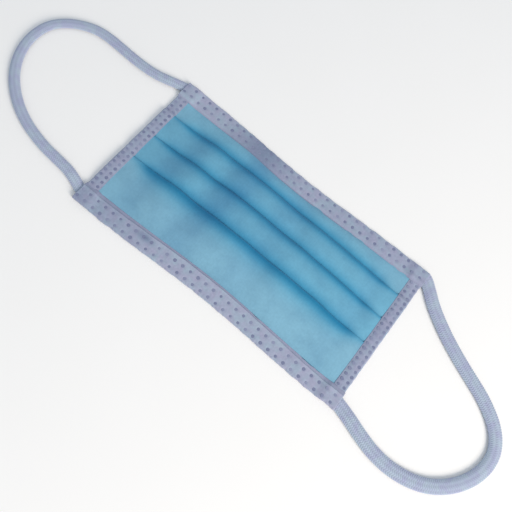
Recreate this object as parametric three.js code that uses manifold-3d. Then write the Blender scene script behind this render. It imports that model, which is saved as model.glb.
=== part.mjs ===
// Pleated surgical face mask lying flat with its outer face up.
// Millimetres: X runs along the mask, +Y points to the nose edge, +Z is up and the floor is z = 0.
// A folded sheet forms the body, four folded strips bind its edges, and two elastics make the ear loops.
import * as THREE from "three";
import { mergeVertices } from "three/addons/utils/BufferGeometryUtils.js";
import Module from "manifold-3d";

const wasm = await Module();
wasm.setup();

// Driving sizes of the body
const BODY_LENGTH = 175;
const BODY_WIDTH = 95;
const LONG_BINDING_WIDTH = 10.5;
const SIDE_BINDING_WIDTH = 7.6;
const EDGE_PINCH = 2.2; // how far each long edge is drawn in at the middle of the mask

// Cloth
const SHEET_WALL = 1;
const BINDING_WALL = 1;
const CLEARANCE = 0.3; // between neighbouring pieces
const LAYER_GAP = 0.2; // between the layers of a pleat where the side bindings press them together

// Pleats: the depth of the hidden fold, and how the body swells towards its middle
const FOLD_DEPTH = 10;
const ARCH_RISE = 2.3;
const LAYER_PUFF = 0.7;
const SOFT_WAVE = 0.8;

// Nose binding: its top ply stops short of the free edge and leaves a lower lip
const NOSE_PLY = 0.5;
const NOSE_LIP_WIDTH = 2.2;
const LIP_NARROWING = 0.45; // share of the lip that is lost at the middle of the mask

// Ear loops: a flat-round elastic, lying flat on the left and rolled a little on its side on the right
const LEFT_LOOP = { width: 7.6, thickness: 2.2 };
const RIGHT_LOOP = { width: 6, thickness: 2.6 };

// Side bindings over the pleat stacks: where the ramp before a stack starts, as a share of FOLD_DEPTH,
// how low the strip sinks between two stacks, and its slack over the sheet, both in layers.
const STACK_RAMP = 0.4;
const STACK_DIP = 1.4;
const STACK_SLACK = 0.1;

// Faceting
const WINDOW_STEPS = 24;
const TURN_STEPS = 4;
const ROUND_STEPS = 2;
const LOOP_SIDES = 10;
const LOOP_STEPS = 56;
const SINK_SHARES = [0.25, 0.5, 0.75];

// Each pleat: its outer fold edge as a share of the way from the chin binding to the nose binding,
// its shift at mid length as a share of EDGE_PINCH, and its swelling as a share of LAYER_PUFF.
const PLEATS = [
  { edge: 0.164, shift: 0.32, puff: 0.5 },
  { edge: 0.395, shift: -0.14, puff: 1 },
  { edge: 0.626, shift: -0.09, puff: 0.9 },
];

// Shallow buckles across the pleats: place and reach as shares of the window's half length,
// and height as a share of SOFT_WAVE.
const BUCKLES = [
  { at: 0.82, reach: 0.11, rise: -0.9 },
  { at: 0.53, reach: 0.14, rise: 1 },
  { at: 0.28, reach: 0.1, rise: -1 },
  { at: 0.06, reach: 0.12, rise: 0.5 },
  { at: -0.55, reach: 0.2, rise: 0.4 },
];

// Ear loop centrelines [outward from the side edge, along Y], from the chin corner to the nose corner.
const RIGHT_ROUTE = [
  [-6, -45.4], [0, -43.8], [5, -42.2], [11, -40.2], [17, -38.7], [25, -37.8], [35, -37.7],
  [45, -38.1], [54, -38.1], [61, -37], [68.5, -33.9], [75.7, -28.8], [81.2, -21.6],
  [83.3, -12.5], [82.3, -2.2], [78.3, 7.8], [72.3, 16.2], [64.6, 23.2], [56, 28.7],
  [47, 32.7], [38, 35.3], [29, 37], [20, 37.8], [12, 38.6], [6, 40.2], [0, 42.4], [-6, 44.2],
];
const LEFT_ROUTE = [
  [-6, -45.4], [0, -43.2], [4.6, -39.4], [9, -35.4], [14, -31.5], [20, -27.6], [27, -23.5],
  [35, -19.5], [43, -15.9], [51, -12.6], [59, -9.2], [66, -5.3], [72.2, -0.7], [77, 5],
  [79.8, 12], [79.9, 20], [77.3, 28.6], [72.2, 36.8], [65.5, 43.5], [57.5, 48.5], [48, 51.6],
  [38, 52.7], [28, 51.8], [18.5, 49.4], [9, 46.3], [0, 43.8], [-6, 42.8],
];

// Places worked out from the sizes
const halfLength = BODY_LENGTH / 2;
const halfWidth = BODY_WIDTH / 2;
const windowX = halfLength - SIDE_BINDING_WIDTH;
const windowY = halfWidth - LONG_BINDING_WIDTH;
const sheetEndX = halfLength - BINDING_WALL - CLEARANCE;
const sheetEndY = halfWidth - BINDING_WALL - CLEARANCE;
const sheetBase = BINDING_WALL + CLEARANCE;
const channelHeight = SHEET_WALL + 2 * CLEARANCE;
const pleats = PLEATS.map((row) => ({ ...row, y: windowY * (2 * row.edge - 1) }));

// Level of the top layer on its way down from a pleat, over a share of the stretch.
const sinking = (share) => 2 - 2 * share * share * (3 - 2 * share);

// Full at the middle of the mask and nothing at the side bindings.
function swell(x) {
  return Math.abs(x) < windowX ? Math.cos((Math.PI / 2) * (x / windowX)) : 0;
}

// Value at y of the broken line through the knots [y, value].
function follow(knots, y) {
  const i = knots.findIndex((knot) => knot[0] >= y);
  if (i < 1) return i === 0 ? knots[0][1] : knots.at(-1)[1];
  const [y0, v0] = knots[i - 1];
  const [y1, v1] = knots[i];
  return v0 + ((v1 - v0) * (y - y0)) / (y1 - y0);
}

// Shift along Y that draws the long edges in and carries the pleats with them.
const pinchKnots = [
  [-windowY, EDGE_PINCH],
  ...pleats.map((pleat) => [pleat.y, pleat.shift * EDGE_PINCH]),
  [windowY, -EDGE_PINCH],
];
function pinched(x, y) {
  return y + follow(pinchKnots, y) * swell(x);
}

// Height that the body gains away from its bindings: the long arch and the shallow buckles.
function arch(x, y) {
  if (Math.abs(y) >= windowY) return 0;
  const across = Math.cos((Math.PI / 2) * (y / windowY));
  const buckle = BUCKLES.reduce((sum, row) => {
    const away = (x / windowX - row.at) / row.reach;
    return sum + row.rise * Math.exp(-away * away);
  }, 0);
  const free = Math.min(1, 2 * swell(x));
  return across * (ARCH_RISE * swell(x) + SOFT_WAVE * buckle * free);
}

// Folded sheet as knots { y, level, pleat }: level 0 is the lowest layer and 2 the top one of a pleat.
// From the chin edge the sheet runs under each fold edge, turns back inside the pleat, comes out on top
// at the fold edge and sinks again before the next pleat.
function foldedSheet(x) {
  const knots = [{ y: -sheetEndY, level: 0, pleat: pleats[0] }];
  knots.push({ y: -windowY, level: 0, pleat: pleats[0] });
  pleats.forEach((pleat, i) => {
    const radius = layerPitch(pleat, x) / 2;
    const inner = pleat.y + FOLD_DEPTH - radius;
    const outer = pleat.y + SHEET_WALL / 2 + radius;
    const next = i + 1 < pleats.length ? pleats[i + 1].y : windowY;
    knots.push({ y: pleat.y, level: 0, pleat });
    for (let step = 0; step <= TURN_STEPS; step++) {
      const angle = (Math.PI * step) / TURN_STEPS;
      knots.push({ y: inner + radius * Math.sin(angle), level: (1 - Math.cos(angle)) / 2, pleat });
    }
    for (let step = 0; step <= TURN_STEPS; step++) {
      const angle = (Math.PI * step) / TURN_STEPS;
      knots.push({ y: outer - radius * Math.sin(angle), level: 1 + (1 - Math.cos(angle)) / 2, pleat });
    }
    for (const share of [0.5, 1]) knots.push({ y: pleat.y + share * FOLD_DEPTH, level: 2, pleat });
    const sink = next - pleat.y - FOLD_DEPTH;
    for (const share of SINK_SHARES) {
      knots.push({ y: pleat.y + FOLD_DEPTH + share * sink, level: sinking(share), pleat });
    }
  });
  knots.push({ y: windowY, level: 0, pleat: pleats.at(-1) });
  knots.push({ y: sheetEndY, level: 0, pleat: pleats.at(-1) });
  return knots;
}

// Distance between neighbouring layers of a pleat.
function layerPitch(pleat, x) {
  return SHEET_WALL + LAYER_GAP + LAYER_PUFF * pleat.puff * swell(x);
}

// Closed outline of the sheet's wall at x, as [y, z].
function sheetOutline(x) {
  const line = foldedSheet(x).map(({ y, level, pleat }) => {
    const z = sheetBase + SHEET_WALL / 2 + arch(x, y) + level * layerPitch(pleat, x);
    return new THREE.Vector2(pinched(x, y), z);
  });
  const above = [];
  const below = [];
  line.forEach((point, i) => {
    const ahead = line[Math.min(i + 1, line.length - 1)];
    const behind = line[Math.max(i - 1, 0)];
    const normal = ahead.clone().sub(behind).normalize().rotateAround(new THREE.Vector2(), Math.PI / 2);
    above.push(point.clone().addScaledVector(normal, SHEET_WALL / 2));
    below.push(point.clone().addScaledVector(normal, -SHEET_WALL / 2));
  });
  return [...below, ...above.reverse()];
}

// Solid through closed outlines of equally many points, one for each station, with flat end caps.
// place(station, point) puts a point of an outline in space. An outline that place mirrors is given
// clockwise, and any other anticlockwise, so that the faces point outwards.
function loft(stations, outlineAt, place) {
  const outlines = stations.map(outlineAt);
  const count = outlines[0].length;
  const positions = outlines.flatMap((outline, i) =>
    outline.flatMap((point) => place(stations[i], point)),
  );
  const index = [];
  for (let i = 0; i + 1 < stations.length; i++) {
    for (let j = 0; j < count; j++) {
      const a = i * count + j;
      const b = i * count + ((j + 1) % count);
      index.push(a, b, a + count, b, b + count, a + count);
    }
  }
  const mirrored = THREE.ShapeUtils.isClockWise(outlines[0]);
  const cap = (outline, start, turned) => {
    for (const [a, b, c] of THREE.ShapeUtils.triangulateShape(outline, [])) {
      const [first, third] = turned ? [c, a] : [a, c];
      index.push(start + first, start + b, start + third);
    }
  };
  cap(outlines[0], 0, !mirrored);
  cap(outlines.at(-1), (stations.length - 1) * count, mirrored);
  const geometry = new THREE.BufferGeometry();
  geometry.setAttribute("position", new THREE.Float32BufferAttribute(positions, 3));
  geometry.setIndex(index);
  geometry.computeVertexNormals();
  return geometry;
}

// Evenly spaced numbers from start to end.
function spaced(start, end, steps) {
  return Array.from({ length: steps + 1 }, (_, i) => start + ((end - start) * i) / steps);
}

// Outline of a strip folded round an edge, as [inward from the edge, z]: a lower leg on the floor,
// a rounded fold and an upper leg over a channel of the given height. A ply of the given thickness
// lies on the upper leg and leaves a lip of the given width.
function foldOutline(width, channel, ply, lip) {
  const top = 2 * BINDING_WALL + channel;
  const full = top + ply;
  const point = (inward, z) => new THREE.Vector2(inward, z);
  const round = (start, z) =>
    spaced(start, start + Math.PI / 2, ROUND_STEPS).map((angle) =>
      point(BINDING_WALL * (1 + Math.cos(angle)), z + BINDING_WALL * Math.sin(angle)),
    );
  const lipEdge = ply > 0 ? [point(width, top), point(width - lip, top)] : [];
  return [
    point(width, 0),
    point(width, BINDING_WALL),
    point(BINDING_WALL, BINDING_WALL),
    point(BINDING_WALL, BINDING_WALL + channel),
    point(width, BINDING_WALL + channel),
    ...lipEdge,
    point(width - lip, full),
    ...round(Math.PI / 2, full - BINDING_WALL),
    ...round(Math.PI, BINDING_WALL),
  ];
}

// Strip along a long edge: side is -1 at the chin and 1 at the nose.
function longBinding(side, ply, lipWidth) {
  const outlineAt = (x) => {
    const lip = lipWidth * (1 - LIP_NARROWING * swell(x));
    const outline = foldOutline(LONG_BINDING_WIDTH, channelHeight, ply, lip);
    return side > 0 ? outline.reverse() : outline;
  };
  const place = (x, point) => [x, side * (halfWidth - point.x - EDGE_PINCH * swell(x)), point.y];
  const stations = [-halfLength, ...spaced(-windowX, windowX, WINDOW_STEPS), halfLength];
  return loft(stations, outlineAt, place);
}

// Layers under the side binding along Y, as [y, level]: it rides over the stack of each pleat.
const stackKnots = [
  [-windowY + CLEARANCE, 0],
  [pleats[0].y - STACK_RAMP * FOLD_DEPTH, 0],
];
pleats.forEach((pleat, i) => {
  const sunk = pleat.y + FOLD_DEPTH;
  stackKnots.push([pleat.y - CLEARANCE, 2], [sunk + CLEARANCE, 2]);
  if (i + 1 < pleats.length) {
    stackKnots.push([(sunk + pleats[i + 1].y) / 2, STACK_DIP]);
    return;
  }
  for (const share of SINK_SHARES) {
    stackKnots.push([sunk + share * (windowY - sunk), sinking(share) + STACK_SLACK]);
  }
  stackKnots.push([windowY - CLEARANCE, STACK_SLACK]);
});

// Narrow strip folded over the pleat ends: side is -1 at the left and 1 at the right.
function sideBinding(side) {
  const pitch = SHEET_WALL + LAYER_GAP;
  const outlineAt = (y) => {
    const channel = channelHeight + follow(stackKnots, y) * pitch;
    const outline = foldOutline(SIDE_BINDING_WIDTH, channel, 0, 0);
    return side > 0 ? outline : outline.reverse();
  };
  const place = (y, point) => [side * (halfLength - point.x), y, point.y];
  return loft(stackKnots.map((knot) => knot[0]), outlineAt, place);
}

// Manifold solid of a closed geometry, and a plain geometry of a manifold solid.
function toSolid(geometry) {
  const bare = geometry.clone();
  bare.deleteAttribute("normal");
  bare.deleteAttribute("uv");
  const merged = mergeVertices(bare);
  const mesh = new wasm.Mesh({
    numProp: 3,
    vertProperties: merged.attributes.position.array,
    triVerts: new Uint32Array(merged.index.array),
  });
  return new wasm.Manifold(mesh);
}
function toGeometry(solid) {
  const mesh = solid.getMesh();
  const geometry = new THREE.BufferGeometry();
  geometry.setAttribute("position", new THREE.BufferAttribute(mesh.vertProperties, 3));
  geometry.setIndex(new THREE.BufferAttribute(mesh.triVerts, 1));
  geometry.computeVertexNormals();
  return geometry;
}

// Elastic lying on the floor along its route, cut off square with the mask's end at both corners.
function earLoop(route, { width, thickness }) {
  const corners = Array.from({ length: LOOP_SIDES }, (_, i) => {
    const angle = (2 * Math.PI * (i + 0.5)) / LOOP_SIDES;
    return new THREE.Vector2((thickness / 2) * Math.cos(angle), (width / 2) * Math.sin(angle));
  });
  const rest = corners[0].x;
  const tube = new THREE.ExtrudeGeometry(new THREE.Shape(corners), {
    steps: LOOP_STEPS,
    extrudePath: new THREE.CatmullRomCurve3(route.map(([x, y]) => new THREE.Vector3(x, y, rest))),
    bevelEnabled: false,
  });
  const reach = SIDE_BINDING_WIDTH + width;
  const insideMask = new THREE.BoxGeometry(reach, 2 * BODY_WIDTH, 2 * width).translate(-reach / 2, 0, 0);
  return toGeometry(toSolid(tube).subtract(toSolid(insideMask)));
}

function cloth(name, geometry, color, roughness) {
  const mesh = new THREE.Mesh(geometry, new THREE.MeshStandardMaterial({ color, roughness, metalness: 0 }));
  mesh.name = name;
  return mesh;
}

const BLUE_NONWOVEN = 0x7fb4cd;
const GREY_NONWOVEN = 0x9aa3ba;
const KNIT_ELASTIC = 0xa8b4cb;

const mask = new THREE.Group();
const panelStations = [-sheetEndX, ...spaced(-windowX, windowX, WINDOW_STEPS), sheetEndX];
const panel = loft(panelStations, sheetOutline, (x, point) => [x, point.x, point.y]);
mask.add(cloth("pleated_panel", panel, BLUE_NONWOVEN, 0.85));
mask.add(cloth("nose_binding", longBinding(1, NOSE_PLY, NOSE_LIP_WIDTH), GREY_NONWOVEN, 0.85));
mask.add(cloth("chin_binding", longBinding(-1, 0, 0), GREY_NONWOVEN, 0.85));
mask.add(cloth("side_binding_left", sideBinding(-1), GREY_NONWOVEN, 0.85));
mask.add(cloth("side_binding_right", sideBinding(1), GREY_NONWOVEN, 0.85));

const rightLoop = cloth("ear_loop_right", earLoop(RIGHT_ROUTE, RIGHT_LOOP), KNIT_ELASTIC, 0.9);
rightLoop.position.x = halfLength + CLEARANCE;
mask.add(rightLoop);
const leftLoop = cloth("ear_loop_left", earLoop(LEFT_ROUTE, LEFT_LOOP), KNIT_ELASTIC, 0.9);
leftLoop.position.x = -halfLength - CLEARANCE;
leftLoop.scale.x = -1;
mask.add(leftLoop);

export default mask;
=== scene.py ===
# %% [markdown]
# # A pleated face mask lying flat
# This lesson dresses a plain solid model of a disposable face mask in cloth, welds and knitted elastic.
# The real mask is a sheet of nonwoven cloth, folded three times, with folded strips welded round its
# edges and an elastic loop welded in at each end. We load the solid model first, because its box is the
# size that the dressed mask has to keep. Everything below is in metres, in the solid model's own axes: X
# along the mask, +Y to the nose edge, +Z up and the table at z = 0.

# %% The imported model
import math

import bmesh
import bpy
import numpy as np
from mathutils import Matrix, Vector, noise


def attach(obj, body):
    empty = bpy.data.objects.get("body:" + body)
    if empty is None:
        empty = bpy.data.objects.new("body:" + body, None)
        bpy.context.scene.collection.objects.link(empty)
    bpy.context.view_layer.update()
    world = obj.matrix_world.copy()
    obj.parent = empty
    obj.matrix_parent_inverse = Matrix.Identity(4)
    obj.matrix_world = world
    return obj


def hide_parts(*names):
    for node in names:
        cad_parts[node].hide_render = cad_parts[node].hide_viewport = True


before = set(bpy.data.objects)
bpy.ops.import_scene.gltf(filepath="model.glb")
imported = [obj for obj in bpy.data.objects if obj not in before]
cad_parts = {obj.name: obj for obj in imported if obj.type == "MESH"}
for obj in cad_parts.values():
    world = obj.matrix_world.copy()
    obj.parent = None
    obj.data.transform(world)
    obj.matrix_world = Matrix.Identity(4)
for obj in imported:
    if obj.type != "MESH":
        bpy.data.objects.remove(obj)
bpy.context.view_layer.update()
MM = 0.001

# %% [markdown]
# ## The camera
# The photographer stood at the nose edge and looked down at about 69 degrees. A camera could be parented
# to a target, but a place, a point on the table to aim at and a roll say the same in three plain values.
# They come from matching the four corners of the mask's body to their real distances.

# %% The camera at the photograph's angle
CAMERA_PLACE = Vector((-31.3, 129.8, 328.8)) * MM
CAMERA_AIM = Vector((-6.5, 8.9, 0)) * MM
CAMERA_ROLL = math.radians(-28.1)
SENSOR_WIDTH = 36
FOCAL_PER_WIDTH = 1.27
NEAREST_SEEN = 10 * MM

camera = bpy.data.objects.new("camera", bpy.data.cameras.new("camera"))
bpy.context.collection.objects.link(camera)
camera.data.sensor_width = SENSOR_WIDTH
camera.data.lens = SENSOR_WIDTH * FOCAL_PER_WIDTH
camera.data.clip_start = NEAREST_SEEN
camera.location = CAMERA_PLACE
sight = CAMERA_AIM - CAMERA_PLACE
level_turn = sight.to_track_quat("-Z", "Y").to_matrix()
camera.rotation_euler = (Matrix.Rotation(CAMERA_ROLL, 3, sight) @ level_turn).to_euler()
bpy.context.scene.camera = camera
print("camera looks down at", round(math.degrees(math.asin(-sight.normalized().z)), 1), "degrees")

# %% [markdown]
# ## Two small helpers for node trees
# Materials and Geometry Nodes are both trees of nodes. Clicking them together is slow to repeat, so one
# helper adds any node with its settings and links, and a second one starts a geometry tree with named
# sizes. Some nodes have several sockets of one name, and those are picked by number: a colour mix takes
# its colours at 6 and 7 and gives its result at 2, and a random number takes its least and most at 2 and
# 3 and its seed at 8.

# %% Helpers for nodes
def add(tree, kind, inputs=None, **settings):
    node = tree.nodes.new(kind)
    for name, value in settings.items():
        setattr(node, name, value)
    for key, value in (inputs or {}).items():
        if isinstance(value, bpy.types.NodeSocket):
            tree.links.new(value, node.inputs[key])
        else:
            node.inputs[key].default_value = value
    return node


def geometry_tree(name, sizes, vectors=()):
    tree = bpy.data.node_groups.new(name, "GeometryNodeTree")
    face = tree.interface
    face.new_socket("Geometry", in_out="INPUT", socket_type="NodeSocketGeometry")
    for size in sizes:
        face.new_socket(size, in_out="INPUT", socket_type="NodeSocketFloat")
    for vector in vectors:
        face.new_socket(vector, in_out="INPUT", socket_type="NodeSocketVector")
    face.new_socket("Geometry", in_out="OUTPUT", socket_type="NodeSocketGeometry")
    print("started the tree", name, "with", len(sizes) + len(vectors), "sizes")
    return tree, tree.nodes.new("NodeGroupInput").outputs, tree.nodes.new("NodeGroupOutput").inputs


# %% [markdown]
# ## Keeping what a tree makes
# A modifier could stay on the piece, but what is exported and measured later is a plain mesh. So the
# tree's inputs are set by their identifiers, its result is read once and kept as the piece's own mesh,
# and the modifier is taken off.

# %% Run a tree and keep its mesh
def run_tree(piece, tree, values):
    modifier = piece.modifiers.new(tree.name, "NODES")
    modifier.node_group = tree
    for socket in tree.interface.items_tree:
        if socket.in_out == "INPUT" and socket.name in values:
            modifier[socket.identifier] = values[socket.name]
    graph = bpy.context.evaluated_depsgraph_get()
    made = bpy.data.meshes.new_from_object(
        piece.evaluated_get(graph), preserve_all_data_layers=True, depsgraph=graph
    )
    piece.modifiers.remove(modifier)
    piece.data = made
    print(piece.name, "has", len(made.polygons), "faces")


# %% [markdown]
# ## Colours
# Blender's sockets want linear light, but a colour is easiest to read as the hex value of a picture
# editor. One function turns the one into the other, and every colour below goes through it. A second one
# fills a colour ramp, whose stops aren't sockets. The bare material that every cloth starts from has the
# index of refraction of plastic fibre and little gloss, because the fibres scatter the light.

# %% Hex colours and a bare material
FIBRE_IOR = 1.49
FIBRE_GLOSS = 0.25


def linear(hex_colour):
    parts = [int(hex_colour[i : i + 2], 16) / 255 for i in (1, 3, 5)]
    return [(p / 12.92 if p <= 0.04045 else ((p + 0.055) / 1.055) ** 2.4) for p in parts] + [1]


def fill_ramp(node, stops):
    elements = node.color_ramp.elements
    while len(elements) < len(stops):
        elements.new(0.5)
    for element, (position, colour) in zip(elements, stops):
        element.position = position
        element.color = linear(colour)


def bare_material(name, roughness, sheen):
    material = bpy.data.materials.new(name)
    material.use_nodes = True
    tree = material.node_tree
    shader = tree.nodes["Principled BSDF"]
    shader.inputs["Roughness"].default_value = roughness
    shader.inputs["Sheen Weight"].default_value = sheen
    shader.inputs["IOR"].default_value = FIBRE_IOR
    shader.inputs["Specular IOR Level"].default_value = FIBRE_GLOSS
    print("started the material", name)
    return material, tree, shader


# %% [markdown]
# ## Knitted elastic
# The ear loops are a soft tube of nylon and elastane, warp knitted on a narrow machine and then dyed a
# pale blue grey. Its yarn is fuzzy, so it has no gloss. Painted shade darkens the grooves between the
# ribs and a painted highlight lightens the crown of each stitch, and the colour is mottled along the
# length. The stitches are drawn 1.2 mm long, a little coarser than real ones, so that they show in the
# picture.

# %% Material of the elastic
STITCH_LENGTH = 1.2 * MM
MOTTLE_SIZE = 4 * MM
YARN_SIZE = 0.35 * MM
YARN_RELIEF = 0.2 * MM
YARN_BUMP = 0.35
GROOVE_SHADE = {"From Min": -0.9, "From Max": 0.8, "To Min": 0.8, "To Max": 1.08}


def knitted_elastic():
    material, tree, shader = bare_material("knitted_nylon_elastic", roughness=0.85, sheen=0.3)
    place = add(tree, "ShaderNodeTexCoord").outputs["Object"]
    sockets = {"Vector": place, "Scale": 1 / MOTTLE_SIZE, "Detail": 3}
    mottle = add(tree, "ShaderNodeTexNoise", sockets)
    tint = add(tree, "ShaderNodeValToRGB", {"Fac": mottle.outputs["Fac"]})
    fill_ramp(tint, [(0.38, "#AAB0CA"), (0.62, "#AFBDCD")])
    # Painted shade in the grooves and a painted highlight on the crowns, from the rib height.
    rib = add(tree, "ShaderNodeAttribute", attribute_name="rib").outputs["Fac"]
    groove = add(tree, "ShaderNodeMapRange", {"Value": rib, **GROOVE_SHADE})
    sockets = {0: tint.outputs["Color"], "Scale": groove.outputs["Result"]}
    shade = add(tree, "ShaderNodeVectorMath", sockets, operation="SCALE")
    tree.links.new(shade.outputs["Vector"], shader.inputs["Base Color"])
    yarn = add(tree, "ShaderNodeTexNoise", {"Vector": place, "Scale": 1 / YARN_SIZE, "Detail": 2})
    sockets = {"Height": yarn.outputs["Fac"], "Strength": YARN_BUMP, "Distance": YARN_RELIEF}
    bump = add(tree, "ShaderNodeBump", sockets)
    tree.links.new(bump.outputs["Normal"], shader.inputs["Normal"])
    return material


elastic = knitted_elastic()

# %% [markdown]
# ## The ear loops' routes
# An elastic is a fixed length of something limp. The photograph shows both loops from end to end, so
# their routes are lists of points chosen along them, as [outward from the side edge, along Y] in
# millimetres. They are the solid model's own points.

# %% Points chosen along the loops
RIGHT_ROUTE = MM * np.array([
    [-6, -45.4], [0, -43.8], [5, -42.2], [11, -40.2], [17, -38.7], [25, -37.8], [35, -37.7],
    [45, -38.1], [54, -38.1], [61, -37], [68.5, -33.9], [75.7, -28.8], [81.2, -21.6],
    [83.3, -12.5], [82.3, -2.2], [78.3, 7.8], [72.3, 16.2], [64.6, 23.2], [56, 28.7],
    [47, 32.7], [38, 35.3], [29, 37], [20, 37.8], [12, 38.6], [6, 40.2], [0, 42.4], [-6, 44.2],
])
LEFT_ROUTE = MM * np.array([
    [-6, -45.4], [0, -43.2], [4.6, -39.4], [9, -35.4], [14, -31.5], [20, -27.6], [27, -23.5],
    [35, -19.5], [43, -15.9], [51, -12.6], [59, -9.2], [66, -5.3], [72.2, -0.7], [77, 5],
    [79.8, 12], [79.9, 20], [77.3, 28.6], [72.2, 36.8], [65.5, 43.5], [57.5, 48.5], [48, 51.6],
    [38, 52.7], [28, 51.8], [18.5, 49.4], [9, 46.3], [0, 43.8], [-6, 42.8],
])
print("points on the right and left route:", len(RIGHT_ROUTE), len(LEFT_ROUTE))

# %% [markdown]
# ## A smooth line through the points
# Straight stretches between the points would show as corners. A Bezier curve would need handles, so a
# Catmull-Rom curve is used, which runs through every point and needs nothing else. It stops where the
# elastic has gone far enough in under the strip.

# %% Smooth line and its length
LOOP_ROOT_X = 87.8 * MM
TUCKED_IN = 2.5 * MM
STEPS_BETWEEN_POINTS = 24


def smooth_route(points, side, height):
    padded = np.vstack([2 * points[0] - points[1], points, 2 * points[-1] - points[-2]])
    t = np.linspace(0, 1, STEPS_BETWEEN_POINTS, endpoint=False)[:, None]
    spans = []
    for a, b, c, d in zip(padded, padded[1:], padded[2:], padded[3:]):
        curve = 2 * b + (c - a) * t + (2 * a - 5 * b + 4 * c - d) * t**2 + (3 * b - 3 * c + d - a) * t**3
        spans.append(curve / 2)
    route = np.vstack(spans)
    route = route[route[:, 0] > -TUCKED_IN]
    return np.column_stack([side * (LOOP_ROOT_X + route[:, 0]), route[:, 1], np.full(len(route), height)])


def run_length(line):
    return float(np.linalg.norm(np.diff(line, axis=0), axis=1).sum())


print("straight from point to point the right route is", round(run_length(RIGHT_ROUTE) / MM, 1), "mm")

# %% [markdown]
# ## A tree that knits along a path
# Ribs could be a texture, but then the outline of the loop would be as smooth as a pipe. A geometry tree
# is a better fit for a shape that follows a rule: it sweeps a flat oval along the route and raises each
# stitch. First come the line and the oval. The line keeps how far along it each point is and how far
# from the nearer end, and it is narrower near the ends, where it is squeezed into the strip. The oval
# keeps the way round.

# %% The line and the oval
STEPS_PER_STITCH = 5.0
POINTS_ROUND = 40


def loop_line(tree, given):
    step = add(tree, "ShaderNodeMath", {0: given["Stitch"], 1: STEPS_PER_STITCH}, operation="DIVIDE")
    line = add(tree, "GeometryNodeMeshToCurve", {"Mesh": given["Geometry"]})
    sockets = {"Curve": line.outputs[0], "Length": step.outputs[0]}
    line = add(tree, "GeometryNodeResampleCurve", sockets, mode="LENGTH")
    line = add(tree, "GeometryNodeSetCurveNormal", {"Curve": line.outputs[0]}, mode="Z_UP")
    along = add(tree, "GeometryNodeSplineParameter").outputs["Length"]
    whole = add(tree, "GeometryNodeSplineLength").outputs["Length"]
    back = add(tree, "ShaderNodeMath", {0: whole, 1: along}, operation="SUBTRACT")
    to_end = add(tree, "ShaderNodeMath", {0: along, 1: back.outputs[0]}, operation="MINIMUM")
    sockets = {"Value": to_end.outputs[0], "From Max": given["End Zone"], "To Min": given["End Width"]}
    fuller = add(tree, "ShaderNodeMapRange", sockets, interpolation_type="SMOOTHSTEP")
    sockets = {"Curve": line.outputs[0], "Radius": fuller.outputs["Result"]}
    line = add(tree, "GeometryNodeSetCurveRadius", sockets)
    sockets = {"Geometry": line.outputs[0], "Name": "along", "Value": along}
    line = add(tree, "GeometryNodeStoreNamedAttribute", sockets)
    sockets = {"Geometry": line.outputs[0], "Name": "to_end", "Value": to_end.outputs[0]}
    return add(tree, "GeometryNodeStoreNamedAttribute", sockets)


def flat_oval(tree, given):
    oval = add(tree, "GeometryNodeCurvePrimitiveCircle", {"Resolution": POINTS_ROUND, "Radius": 0.5})
    flat = add(tree, "ShaderNodeCombineXYZ", {"X": given["Width"], "Y": given["Thickness"], "Z": 1.0})
    oval = add(tree, "GeometryNodeTransform", {"Geometry": oval.outputs[0], "Scale": flat.outputs[0]})
    way_round = add(tree, "GeometryNodeSplineParameter").outputs["Factor"]
    sockets = {"Geometry": oval.outputs[0], "Name": "around", "Value": way_round}
    return add(tree, "GeometryNodeStoreNamedAttribute", sockets)


print("a step along the elastic is", round(STITCH_LENGTH / STEPS_PER_STITCH / MM, 2), "mm")

# %% [markdown]
# ## Stitches in relief
# A wale is a column of stitches that runs along the elastic. Here each stitch is a ridge across it that
# leans to and fro from one wale to the next, which is a cosine of the length whose phase is a cosine of
# the way round. The wales stand up a little too, by their own share. The height is kept for the painted
# shade and highlight of the colour.

# %% The stitches
STITCH_LEAN = 1.9
WALE_SHARE = 0.4


def stitched(tree, given, tube):
    around = add(tree, "GeometryNodeInputNamedAttribute", {"Name": "around"}).outputs["Attribute"]
    length = add(tree, "GeometryNodeInputNamedAttribute", {"Name": "along"}).outputs["Attribute"]
    turns = add(tree, "ShaderNodeMath", {0: around, 1: given["Wales"]}, operation="MULTIPLY")
    angle = add(tree, "ShaderNodeMath", {0: turns.outputs[0], 1: math.tau}, operation="MULTIPLY")
    wale = add(tree, "ShaderNodeMath", {0: angle.outputs[0]}, operation="COSINE")
    courses = add(tree, "ShaderNodeMath", {0: length, 1: given["Stitch"]}, operation="DIVIDE")
    phase = add(tree, "ShaderNodeMath", {0: courses.outputs[0], 1: math.tau}, operation="MULTIPLY")
    sockets = {0: wale.outputs[0], 1: STITCH_LEAN, 2: phase.outputs[0]}
    leaning = add(tree, "ShaderNodeMath", sockets, operation="MULTIPLY_ADD")
    course = add(tree, "ShaderNodeMath", {0: leaning.outputs[0]}, operation="COSINE")
    sockets = {0: wale.outputs[0], 1: WALE_SHARE, 2: course.outputs[0]}
    ridges = add(tree, "ShaderNodeMath", sockets, operation="MULTIPLY_ADD")
    sockets = {0: ridges.outputs[0], 1: given["Rib Height"]}
    raised = add(tree, "ShaderNodeMath", sockets, operation="MULTIPLY")
    outward = add(tree, "GeometryNodeInputNormal").outputs["Normal"]
    sockets = {0: outward, "Scale": raised.outputs[0]}
    offset = add(tree, "ShaderNodeVectorMath", sockets, operation="SCALE")
    sockets = {"Geometry": tube.outputs[0], "Name": "rib", "Value": ridges.outputs[0]}
    tube = add(tree, "GeometryNodeStoreNamedAttribute", sockets)
    sockets = {"Geometry": tube.outputs[0], "Offset": offset.outputs[0]}
    return add(tree, "GeometryNodeSetPosition", sockets)


print("the highest ridge is", 1 + WALE_SHARE, "times the rib height")

# %% [markdown]
# ## Pressed ends and the whole tree
# Near each end the tube is pressed to half its thickness and lifted on to the strip's lower leg, since
# the elastic is welded in between the two legs. The last nodes give it its material.

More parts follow.
